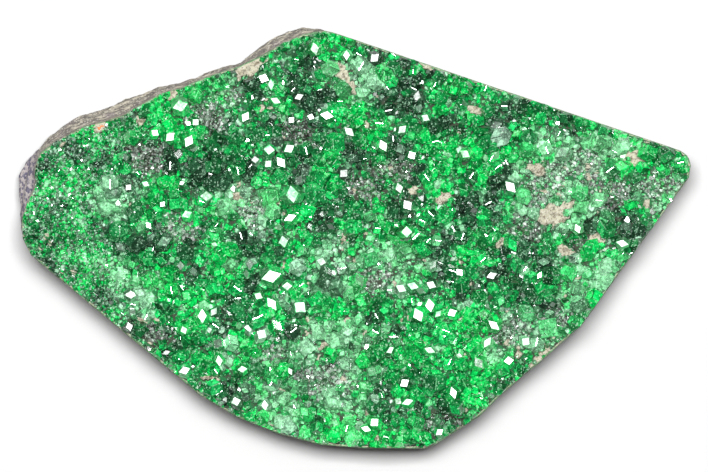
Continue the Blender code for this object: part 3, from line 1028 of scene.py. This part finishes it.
@dataclass
class Crystals:
    """One piece of crystals, all of them closed rhombic dodecahedra rooted in the crust's floor."""

    name: str
    generations: tuple[Generation, ...]
    finish: GarnetFinish
    seed: int

    def scatter(self, rng: np.random.Generator, kind: Generation) -> np.ndarray:
        """Places of one generation: a triangular net shaken by a third of its spacing, thinned at random.

        A crystal that would stand on one of those that face the light is left out.
        """
        facing = np.array(CRUST.facing)[:, :2] * MM
        if kind.site is Site.FACING:
            return facing
        line = OUTLINE.crystal_line()
        low, high = line.min(0), line.max(0)
        spacing = kind.spacing * MM
        row_step = spacing * math.sqrt(3) / 2
        rows = np.arange(int((high[1] - low[1]) / row_step) + 2)
        columns = np.arange(int((high[0] - low[0]) / spacing) + 2)
        x = low[0] + (columns[None, :] + 0.5 * (rows[:, None] % 2)) * spacing
        y = low[1] + np.broadcast_to(rows[:, None] * row_step, x.shape)
        places = np.stack([x.ravel(), y.ravel()], -1)
        places += rng.uniform(-0.36, 0.36, places.shape) * spacing
        keep = rng.uniform(size=len(places)) < kind.share
        fine = CRUST.fineness(places[:, 0], places[:, 1])
        sugar = CRUST.weight(Zone.SUGAR, places[:, 0], places[:, 1])
        chance = {Site.FINE: fine, Site.SUGAR: sugar, Site.COARSE: (1 - fine) * (1 - sugar)}[kind.site]
        keep &= rng.uniform(size=len(places)) < chance
        bare = CRUST.cream(places[:, 0], places[:, 1]) > 0.5
        keep &= ~bare | (rng.uniform(size=len(places)) < kind.on_bare)
        places = places[keep]
        gaps = np.linalg.norm(places[:, None] - facing[None], axis=2).min(1)
        return places[holds(line, places) & (gaps > 0.5 * kind.width * MM)]

    def tint(self, rng: np.random.Generator, places: np.ndarray, kind: Generation) -> np.ndarray:
        """Each crystal's own colour.

        A tone from blackish to vivid green follows the stretches of the crust, clumps a few crystals
        wide and then chance; slower noise lightens or darkens whole groups. A few crystals are clouded
        grey, those in pale stretches turn to mint, and those of a grey druse to any grey.
        """
        x, y = places.T
        count = len(places)
        clump = layered_noise(x, y, 2.6 * MM, 3, 33) + 0.8 * lattice_noise(x, y, 1.1 * MM, 36)
        dark = CRUST.weight(Zone.DARK, x, y)
        vivid = CRUST.weight(Zone.VIVID, x, y)
        pale = CRUST.weight(Zone.PALE, x, y)
        tone = 0.52 + 0.50 * clump + rng.normal(0.0, 0.20 * kind.mixed, count) - 0.45 * dark + 0.22 * vivid
        stops = [stop for stop, _ in TONES]
        colour = np.stack([np.interp(tone, stops, [c[i] for _, c in TONES]) for i in range(3)], -1)
        cloudy = 0.42 if kind.site is Site.FINE else 0.12 * kind.mixed**2
        cloud = rng.uniform(0.2, 0.9, count) * (rng.uniform(size=count) < cloudy)
        colour = blend(colour, CLOUDED, cloud * (1 - 0.5 * dark))
        colour = blend(colour, MINT, pale * rng.uniform(0.0, 1.0, count) ** 0.7)
        colour = colour * np.exp(0.48 * layered_noise(x, y, 1.7 * MM, 2, 39) + 0.12 * vivid + 0.2 * pale)[:, None]
        if kind.site is Site.SUGAR:
            grey = rng.uniform(size=count) ** (1.6 + 1.6 * dark)
            shade = np.array(GREYS[0]) * (1 - grey[:, None]) + np.array(GREYS[1]) * grey[:, None]
            part = rng.uniform(0.3, 1.0, (count, 1))
            colour = colour * (1 - part) + shade * part
        return colour

    def build(self) -> bpy.types.Object:
        """All crystals of the piece as one mesh: corner = place + turn (stretch unit corner) half cube."""
        rng = np.random.default_rng(self.seed)
        skins, joins, tints, frosts, start = [], [], [], [], 0
        for kind in self.generations:
            habit = kind.habit
            places = self.scatter(rng, kind)
            count = len(places)
            half = kind.width / 4 * MM * np.exp(rng.normal(0.0, kind.spread, count))
            if kind.site is Site.FACING:
                half = np.array(CRUST.facing)[:, 2] / 4 * MM
            turns = random_turns(rng, count)
            dull = glints(turns) & (rng.uniform(size=count) < kind.dull_share)
            turns[dull] = random_turns(rng, dull.sum())
            stretch = rng.uniform(0.80, 1.22, (count, 1, 3))
            chance = rng.uniform(size=count)
            level = chance < kind.level_share
            turns[level] = level_turns(rng, places[level], FACE)
            stretch[level, :, 1] = stretch[level, :, 0]
            edge = chance > 1 - kind.edge_share
            turns[edge] = level_turns(rng, places[edge], EDGE)
            stretch[edge] = 1.0
            local = np.einsum("nij,nkj->nki", turns, habit.corners[None] * stretch) * half[:, None, None]
            lift = np.minimum(half * (kind.rise + rng.normal(0.0, 0.35, count)), 0.55 * MM)
            height = GROUND.height(places[:, 0], places[:, 1]) + lift
            centre = np.concatenate([places, height[:, None]], -1)
            skins.append((centre[:, None, :] + local).reshape(-1, 3))
            first = start + np.arange(count)[:, None, None] * len(habit.corners)
            joins.append((first + habit.triangles[None]).reshape(-1, 3))
            start += count * len(habit.corners)
            # Painted light and shade: each face of a crystal is brightened or darkened at random, as if lit
            # differently.
            strength = np.exp(rng.normal(0.0, 0.52, (count, habit.face.max() + 1, 1)))
            faces = self.tint(rng, places, kind)[:, None, :] * strength
            faces *= np.minimum(1.0, 0.85 / faces.max(-1, keepdims=True))
            tints.append(faces[:, habit.face].reshape(-1, 3))
            frost = rng.uniform(0.3, 1.0, count) * (glints(turns) & (rng.uniform(size=count) < 0.85))
            if kind.site is Site.FACING:
                frost = rng.uniform(0.5, 0.92, count)
            frosts.append(frost.repeat(len(habit.face) * 3))
        skin = saw_off(np.concatenate(skins), OUTLINE.crystal_line())
        piece = put_mesh(self.name, skin, np.concatenate(joins), Shape.FLAT)
        colours = np.concatenate(tints)
        rows = np.concatenate([colours, np.ones((len(colours), 1))], -1).repeat(3, 0)
        layer = piece.data.color_attributes.new("tint", "FLOAT_COLOR", "CORNER")
        layer.data.foreach_set("color", rows.astype(np.float32).ravel())
        layer = piece.data.attributes.new("frost", "FLOAT", "CORNER")
        layer.data.foreach_set("value", np.concatenate(frosts).astype(np.float32))
        finish_piece(piece, self.finish.make(), CRUST_NODE)
        return piece


@dataclass
class Studio:
    """The white floor, the lights and the camera straight above."""

    pixel: float = 0.0942
    edge_height: float = 5.6
    width_px: int = 708
    middle_px: tuple[float, float] = (354.3, 237.5)
    frame_middle_px: tuple[float, float] = (354.0, 236.0)
    camera_height: float = 0.6
    sensor: float = 36.0
    floor_half: float = 3.0
    key_height: float = 0.55
    fill_height: float = 0.58
    floor_shade: float = 0.43
    key_half_width: float = 10.5
    key_near: float = 1.3
    key_far: float = 13.3
    key_radiance: float = 86.0
    fill_half_width: float = 25.0
    fill_near: float = -10.0
    fill_far: float = 32.0
    fill_radiance: float = 1.6

    def build(self) -> None:
        """Make the floor, the lights, the world and the camera."""
        self.make_floor()
        self.make_world()
        key = (self.key_half_width, self.key_near, self.key_far, self.key_radiance)
        fill = (self.fill_half_width, self.fill_near, self.fill_far, self.fill_radiance)
        self.make_softbox("key", self.key_height, *key)
        self.make_softbox("fill", self.fill_height, *fill)
        self.make_camera()

    def make_floor(self) -> None:
        """A wide white floor under the plate."""
        half = self.floor_half
        corners = np.array([(-half, -half, 0), (half, -half, 0), (half, half, 0), (-half, half, 0)])
        floor = put_mesh("floor", corners, np.array([[0, 1, 2, 3]]), Shape.FLAT)
        recipe = Recipe("floor")
        floor.data.materials.append(recipe.dress(Base_Color=(self.floor_shade,) * 3, Roughness=0.9))

    def make_world(self) -> None:
        """A dim, even surround."""
        world = bpy.data.worlds.new("studio")
        bpy.context.scene.world = world
        world.use_nodes = True
        background = world.node_tree.nodes["Background"]
        background.inputs["Color"].default_value = (1.0, 1.0, 1.0, 1.0)
        background.inputs["Strength"].default_value = 0.04

    def make_softbox(self, name: str, height: float, half: float, near: float, far: float, glow: float) -> None:
        """A rectangular light straight overhead.

        Args:
            name: the light's name.
            height: how high it hangs, in metres.
            half: the angle it reaches to each side, in degrees from straight up.
            near: the angle of its lower edge in the photo, and far of its upper edge, above zero to +Y.
            far: see near.
            glow: its radiance.
        """
        light = bpy.data.lights.new(name, "AREA")
        light.shape = "RECTANGLE"
        light.size = 2 * height * math.tan(math.radians(half))
        low, high = height * math.tan(math.radians(near)), height * math.tan(math.radians(far))
        light.size_y = high - low
        light.energy = glow * math.pi * light.size * light.size_y
        lamp = bpy.data.objects.new(name, light)
        lamp.location = (0.0, (low + high) / 2, height)
        bpy.context.scene.collection.objects.link(lamp)

    def make_camera(self) -> None:
        """The camera looks straight down, framed so that a photo pixel is 0.0942 mm at the plate's edge."""
        camera = bpy.data.cameras.new("camera")
        camera.sensor_width = self.sensor
        field = self.width_px * self.pixel * MM
        camera.lens = self.sensor * (self.camera_height - self.edge_height * MM) / field
        camera.clip_start = 0.01
        camera.clip_end = 20.0
        view = bpy.data.objects.new("camera", camera)
        x = (self.frame_middle_px[0] - self.middle_px[0]) * self.pixel * MM
        y = (self.middle_px[1] - self.frame_middle_px[1]) * self.pixel * MM
        view.location = (x, y, self.camera_height)
        bpy.context.scene.collection.objects.link(view)
        bpy.context.scene.camera = view


PLAIN = plain_habit()
BEVELLED = bevelled_habit(0.11)
SMALL = (
    Generation(0.50, 0.62, 0.25, 0.1, 0.95, PLAIN, on_bare=0.12),
)
MEDIUM = (
    Generation(0.92, 1.05, 0.20, 0.5, 0.80, BEVELLED, edge_share=0.03),
)
LARGE = (
    Generation(1.60, 1.80, 0.17, 0.7, 0.80, BEVELLED, edge_share=0.08, mixed=0.5),
    Generation(1.60, 1.75, 0.15, 1.1, 1.00, BEVELLED, Site.FACING, level_share=1.0, mixed=0.5),
)
FINE = (
    Generation(0.25, 0.36, 0.25, 0.5, 1.0, PLAIN, Site.FINE),
    Generation(0.48, 0.46, 0.25, 0.9, 0.40, PLAIN, Site.FINE, dull_share=0.9),
    Generation(0.27, 0.38, 0.25, 0.4, 1.0, PLAIN, Site.SUGAR),
)


def main() -> None:
    """Build the specimen and its studio."""
    logging.basicConfig(level=logging.INFO, format="%(message)s")
    Studio().build()
    RockPlate().build()
    CrustBed().build()
    BareSpots().build()
    Crystals("small_garnets", SMALL, GarnetFinish("garnet_small"), seed=151).build()
    Crystals("garnet_crystals", MEDIUM, GarnetFinish("garnet_clear"), seed=201).build()
    Crystals("large_garnets", LARGE, GarnetFinish("garnet_large"), seed=251).build()
    Crystals("fine_garnet_druse", FINE, GarnetFinish("garnet_fine"), seed=301).build()
    bpy.context.scene.view_settings.view_transform = "Standard"


if __name__ == "__main__":
    main()
